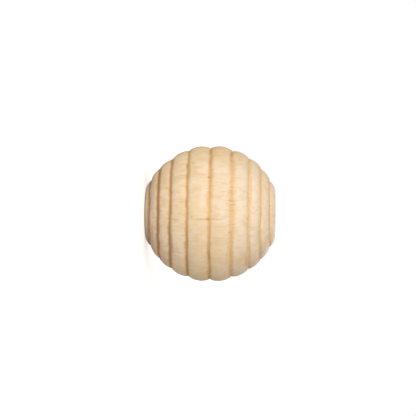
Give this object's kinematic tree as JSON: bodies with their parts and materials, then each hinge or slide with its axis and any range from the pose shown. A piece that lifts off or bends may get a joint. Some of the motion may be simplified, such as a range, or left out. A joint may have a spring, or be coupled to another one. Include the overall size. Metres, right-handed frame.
{
  "type": "beehive bead",
  "caption": "Round turned wooden bead with rounded ribs all round, flat ends and a bore from end to end for a cord.",
  "frame": {"origin": "centre of the lower end face, on the bore's axis, where the bead stands", "axes": "+Z along the bore, from the lower end to the upper end; the bead is round about Z, so X and Y are free"},
  "size_m": [0.0178, 0.0178, 0.017],
  "materials": {
    "wood": "bare turned wood, sanded, with no varnish"
  },
  "bodies": {
    "root": {"bead": "wood"}
  },
  "joints": []
}
